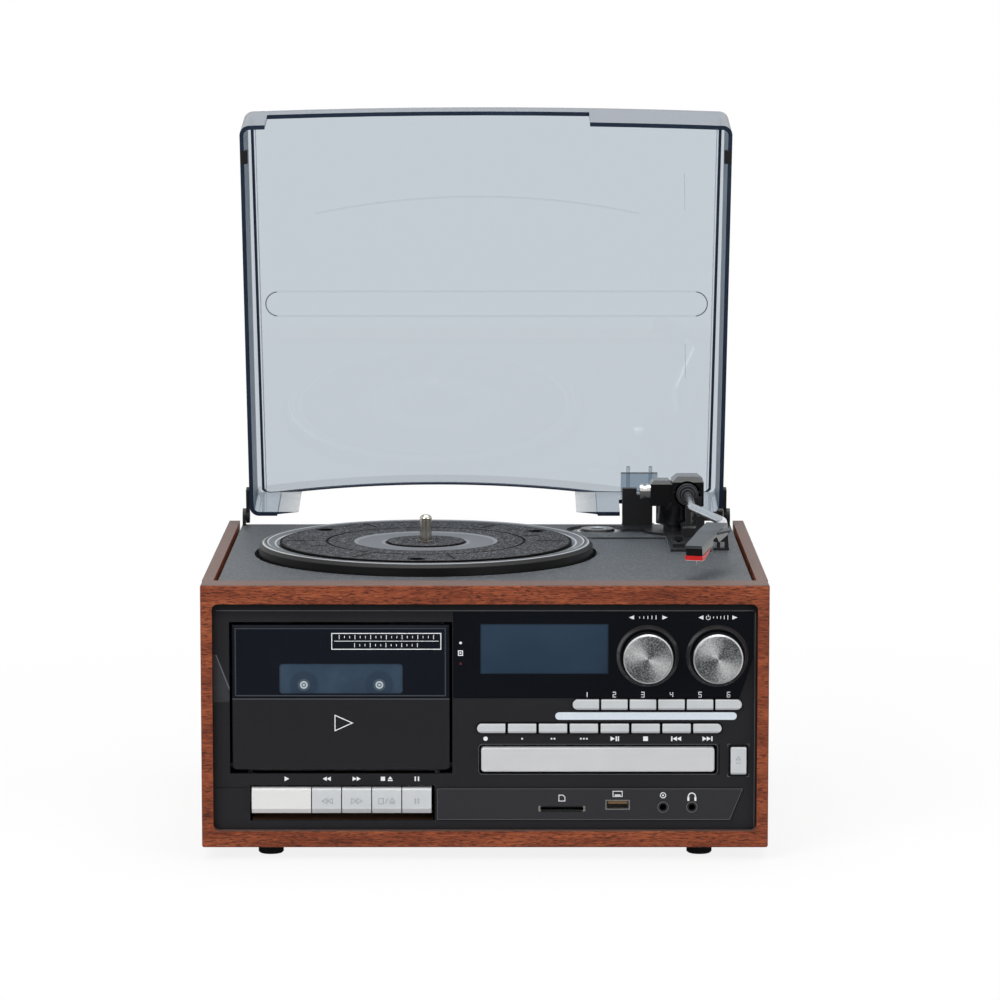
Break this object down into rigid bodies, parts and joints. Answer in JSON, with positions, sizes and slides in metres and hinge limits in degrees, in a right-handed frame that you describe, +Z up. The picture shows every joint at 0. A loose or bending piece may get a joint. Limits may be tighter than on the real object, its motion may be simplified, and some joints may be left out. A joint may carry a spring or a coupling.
{
  "type": "stereo music centre",
  "caption": "Table-top music centre: belt-drive turntable under a hinged smoked cover, with disc tray, cassette deck and radio controls in a wood cabinet.",
  "frame": {"origin": "on the surface it stands on, below the middle of the whole set's box", "axes": "+Z up, the front faces -Y, +X to the right seen from the front"},
  "size_m": [0.32, 0.3188, 0.414],
  "materials": {
    "wood": "satin wood veneer, reddish brown with short dark pores",
    "board": "fibreboard",
    "deck_plastic": "fine spark-textured black plastic",
    "black_plastic": "satin black moulded plastic",
    "black_gloss": "gloss black plastic",
    "platter_black": "semi-gloss black moulded plastic",
    "mat_rubber": "speckled dark grey slip mat",
    "belt_rubber": "matt rubber",
    "foot_rubber": "matt rubber",
    "chrome": "bright plated",
    "steel": "plain steel",
    "knob_metal": "radially brushed with a bright rim",
    "key_silver": "pale silver painted plastic",
    "smoked": "clear smoked acrylic",
    "lens": "deep blue-black gloss lens",
    "lcd_glass": "unlit blue display",
    "window": "tinted clear plastic",
    "stylus_red": "red gloss plastic",
    "cone_paper": "paper cone and steel frame",
    "circuit": "green circuit board"
  },
  "bodies": {
    "root": {"front_frame": "wood", "side_boards": "wood", "base_board": "board", "back_panel": "black_plastic", "feet": "foot_rubber", "speakers": "cone_paper", "top_deck": "deck_plastic", "spindle": "chrome", "drive_motor": "steel", "drive_belt": "belt_rubber", "adaptor_45": "chrome", "tonearm_base": "black_plastic", "hinge_brackets": "black_plastic", "fascia": "black_plastic", "display_lens": "lens", "lcd": "lcd_glass", "tape_mechanism": "steel", "cd_mechanism": "black_plastic", "circuit_boards": "circuit", "sockets": "steel"},
    "lid": {"dust_cover": "smoked", "lid_fittings": "black_plastic"},
    "platter": {"platter": "platter_black", "platter_mat": "mat_rubber"},
    "pulley": {"motor_pulley": "steel"},
    "arm_swivel": {"tonearm_yoke": "black_gloss", "arm_bearing": "chrome"},
    "arm": {"tonearm_tube": "chrome", "headshell": "black_gloss", "cartridge": "black_gloss", "stylus": "stylus_red"},
    "lift_lever": {"cue_lever": "black_gloss"},
    "speed_slide": {"speed_switch": "black_plastic"},
    "tuning": {"tuning_knob": "knob_metal"},
    "volume": {"volume_knob": "knob_metal"},
    "door": {"cassette_door": "black_gloss", "door_window": "window"},
    "left_hub": {"left_tape_hub": "key_silver"},
    "right_hub": {"right_tape_hub": "key_silver"},
    "disc_tray": {"cd_tray": "key_silver"},
    "eject": {"open_close_button": "key_silver"},
    "function_1": {"function_button_1": "key_silver"},
    "function_2": {"function_button_2": "key_silver"},
    "function_3": {"function_button_3": "key_silver"},
    "function_4": {"function_button_4": "key_silver"},
    "function_5": {"function_button_5": "key_silver"},
    "function_6": {"function_button_6": "key_silver"},
    "transport_1": {"transport_button_1": "key_silver"},
    "transport_2": {"transport_button_2": "key_silver"},
    "transport_3": {"transport_button_3": "key_silver"},
    "transport_4": {"transport_button_4": "key_silver"},
    "transport_5": {"transport_button_5": "key_silver"},
    "transport_6": {"transport_button_6": "key_silver"},
    "transport_7": {"transport_button_7": "key_silver"},
    "transport_8": {"transport_button_8": "key_silver"},
    "key_1": {"cassette_key_1": "key_silver"},
    "key_2": {"cassette_key_2": "key_silver"},
    "key_3": {"cassette_key_3": "key_silver"},
    "key_4": {"cassette_key_4": "key_silver"},
    "key_5": {"cassette_key_5": "key_silver"}
  },
  "joints": [
    {"name": "lid_hinge", "type": "hinge", "parent": "root", "child": "lid", "pos_m": [0, 0.11588, 0.1613], "axis": [1, 0, 0], "range_deg": [0, 81.5]},
    {"name": "platter_spin", "type": "hinge", "parent": "root", "child": "platter", "pos_m": [-0.0355, -0.00792, 0.1555], "axis": [0, 0, 1], "continuous": true},
    {"name": "pulley_spin", "type": "hinge", "parent": "root", "child": "pulley", "pos_m": [-0.09755, 0.04415, 0.1555], "axis": [0, 0, 1], "continuous": true},
    {"name": "arm_swing", "type": "hinge", "parent": "root", "child": "arm_swivel", "pos_m": [0.1168, 0.08558, 0.1555], "axis": [0, 0, -1], "range_deg": [0, 40]},
    {"name": "arm_lift", "type": "hinge", "parent": "arm_swivel", "child": "arm", "pos_m": [0.123, 0.08158, 0.18], "axis": [-1, 0, 0], "range_deg": [0, 7]},
    {"name": "lift_lever_turn", "type": "hinge", "parent": "root", "child": "lift_lever", "pos_m": [0.1396, 0.00458, 0.1665], "axis": [-1, 0, 0], "range_deg": [0, 40]},
    {"name": "speed_slide", "type": "slide", "parent": "root", "child": "speed_slide", "axis": [0, 1, 0], "range_m": [-0.007, 0.007]},
    {"name": "tuning_turn", "type": "hinge", "parent": "root", "child": "tuning", "pos_m": [0.0917, -0.15142, 0.116], "axis": [0, -1, 0], "continuous": true},
    {"name": "volume_turn", "type": "hinge", "parent": "root", "child": "volume", "pos_m": [0.1309, -0.15142, 0.116], "axis": [0, -1, 0], "range_deg": [-150, 150]},
    {"name": "door_hinge", "type": "hinge", "parent": "root", "child": "door", "pos_m": [0, -0.14192, 0.053], "axis": [1, 0, 0], "range_deg": [0, 28]},
    {"name": "left_hub_spin", "type": "hinge", "parent": "root", "child": "left_hub", "pos_m": [-0.10205, -0.12292, 0.0995], "axis": [0, -1, 0], "continuous": true},
    {"name": "right_hub_spin", "type": "hinge", "parent": "root", "child": "right_hub", "pos_m": [-0.05955, -0.12292, 0.0995], "axis": [0, -1, 0], "continuous": true},
    {"name": "tray_slide", "type": "slide", "parent": "root", "child": "disc_tray", "axis": [0, -1, 0], "range_m": [0, 0.125]},
    {"name": "eject_press", "type": "slide", "parent": "root", "child": "eject", "axis": [0, 1, 0], "range_m": [0, 0.0012], "stiffness_N_per_m": 300, "springref_m": -0.0004},
    {"name": "function_press_1", "type": "slide", "parent": "root", "child": "function_1", "axis": [0, 1, 0], "range_m": [0, 0.0012], "stiffness_N_per_m": 300, "springref_m": -0.0004},
    {"name": "function_press_2", "type": "slide", "parent": "root", "child": "function_2", "axis": [0, 1, 0], "range_m": [0, 0.0012], "stiffness_N_per_m": 300, "springref_m": -0.0004},
    {"name": "function_press_3", "type": "slide", "parent": "root", "child": "function_3", "axis": [0, 1, 0], "range_m": [0, 0.0012], "stiffness_N_per_m": 300, "springref_m": -0.0004},
    {"name": "function_press_4", "type": "slide", "parent": "root", "child": "function_4", "axis": [0, 1, 0], "range_m": [0, 0.0012], "stiffness_N_per_m": 300, "springref_m": -0.0004},
    {"name": "function_press_5", "type": "slide", "parent": "root", "child": "function_5", "axis": [0, 1, 0], "range_m": [0, 0.0012], "stiffness_N_per_m": 300, "springref_m": -0.0004},
    {"name": "function_press_6", "type": "slide", "parent": "root", "child": "function_6", "axis": [0, 1, 0], "range_m": [0, 0.0012], "stiffness_N_per_m": 300, "springref_m": -0.0004},
    {"name": "transport_press_1", "type": "slide", "parent": "root", "child": "transport_1", "axis": [0, 1, 0], "range_m": [0, 0.0012], "stiffness_N_per_m": 300, "springref_m": -0.0004},
    {"name": "transport_press_2", "type": "slide", "parent": "root", "child": "transport_2", "axis": [0, 1, 0], "range_m": [0, 0.0012], "stiffness_N_per_m": 300, "springref_m": -0.0004},
    {"name": "transport_press_3", "type": "slide", "parent": "root", "child": "transport_3", "axis": [0, 1, 0], "range_m": [0, 0.0012], "stiffness_N_per_m": 300, "springref_m": -0.0004},
    {"name": "transport_press_4", "type": "slide", "parent": "root", "child": "transport_4", "axis": [0, 1, 0], "range_m": [0, 0.0012], "stiffness_N_per_m": 300, "springref_m": -0.0004},
    {"name": "transport_press_5", "type": "slide", "parent": "root", "child": "transport_5", "axis": [0, 1, 0], "range_m": [0, 0.0012], "stiffness_N_per_m": 300, "springref_m": -0.0004},
    {"name": "transport_press_6", "type": "slide", "parent": "root", "child": "transport_6", "axis": [0, 1, 0], "range_m": [0, 0.0012], "stiffness_N_per_m": 300, "springref_m": -0.0004},
    {"name": "transport_press_7", "type": "slide", "parent": "root", "child": "transport_7", "axis": [0, 1, 0], "range_m": [0, 0.0012], "stiffness_N_per_m": 300, "springref_m": -0.0004},
    {"name": "transport_press_8", "type": "slide", "parent": "root", "child": "transport_8", "axis": [0, 1, 0], "range_m": [0, 0.0012], "stiffness_N_per_m": 300, "springref_m": -0.0004},
    {"name": "key_press_1", "type": "hinge", "parent": "root", "child": "key_1", "pos_m": [0, -0.10542, 0.0341], "axis": [1, 0, 0], "range_deg": [0, 5], "stiffness_Nm_per_rad": 0.5, "springref_deg": -1.72},
    {"name": "key_press_2", "type": "hinge", "parent": "root", "child": "key_2", "pos_m": [0, -0.10542, 0.0341], "axis": [1, 0, 0], "range_deg": [0, 5], "stiffness_Nm_per_rad": 0.5, "springref_deg": -1.72},
    {"name": "key_press_3", "type": "hinge", "parent": "root", "child": "key_3", "pos_m": [0, -0.10542, 0.0341], "axis": [1, 0, 0], "range_deg": [0, 5], "stiffness_Nm_per_rad": 0.5, "springref_deg": -1.72},
    {"name": "key_press_4", "type": "hinge", "parent": "root", "child": "key_4", "pos_m": [0, -0.10542, 0.0341], "axis": [1, 0, 0], "range_deg": [0, 5], "stiffness_Nm_per_rad": 0.5, "springref_deg": -1.72},
    {"name": "key_press_5", "type": "hinge", "parent": "root", "child": "key_5", "pos_m": [0, -0.10542, 0.0341], "axis": [1, 0, 0], "range_deg": [0, 5], "stiffness_Nm_per_rad": 0.5, "springref_deg": -1.72}
  ],
  "couplings": [
    {"joint": "pulley_spin", "follows": "platter_spin", "ratio": 11.5}
  ]
}
